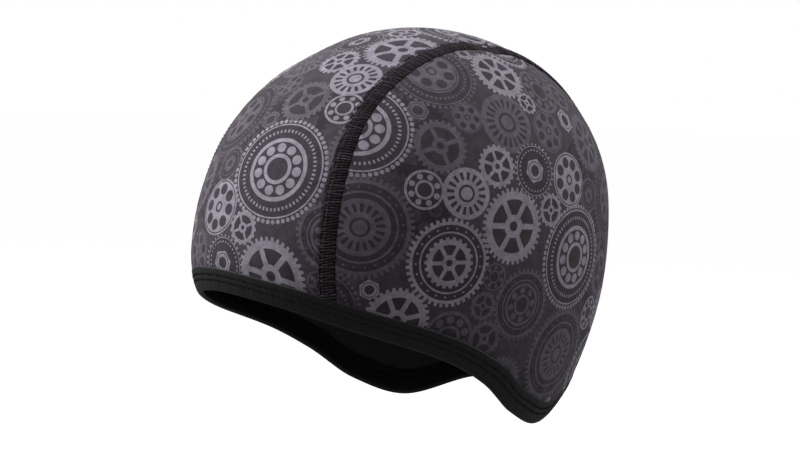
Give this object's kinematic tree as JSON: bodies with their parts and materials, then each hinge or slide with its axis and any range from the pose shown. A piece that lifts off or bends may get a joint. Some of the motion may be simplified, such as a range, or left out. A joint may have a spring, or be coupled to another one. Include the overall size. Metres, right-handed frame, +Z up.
{
  "type": "thermal skull cap",
  "caption": "Close-fitting stretch cap with ear cover, worn under a helmet: one long panel over the crown, a panel over each ear, flat seams between them and a folded binding round the edge.",
  "frame": {"origin": "the inside of the crown, on the middle plane, where the cap sits on the head", "axes": "+Z up, -Y the way the face looks, +X the wearer's left"},
  "size_m": [0.1597, 0.2071, 0.1773],
  "materials": {
    "printed_fleece": "smooth matt stretch jersey, dark purple grey with a lighter all-over print, brushed dark inside",
    "seam_thread": "black flatlock stitching with dull cross threads",
    "edge_binding": "matt black folded elastic with two rows of black coverstitch"
  },
  "bodies": {
    "root": {"centre_panel": "printed_fleece", "side_panel_left": "printed_fleece", "side_panel_right": "printed_fleece", "seam_left": "seam_thread", "seam_right": "seam_thread", "rim_binding": "edge_binding"}
  },
  "joints": []
}
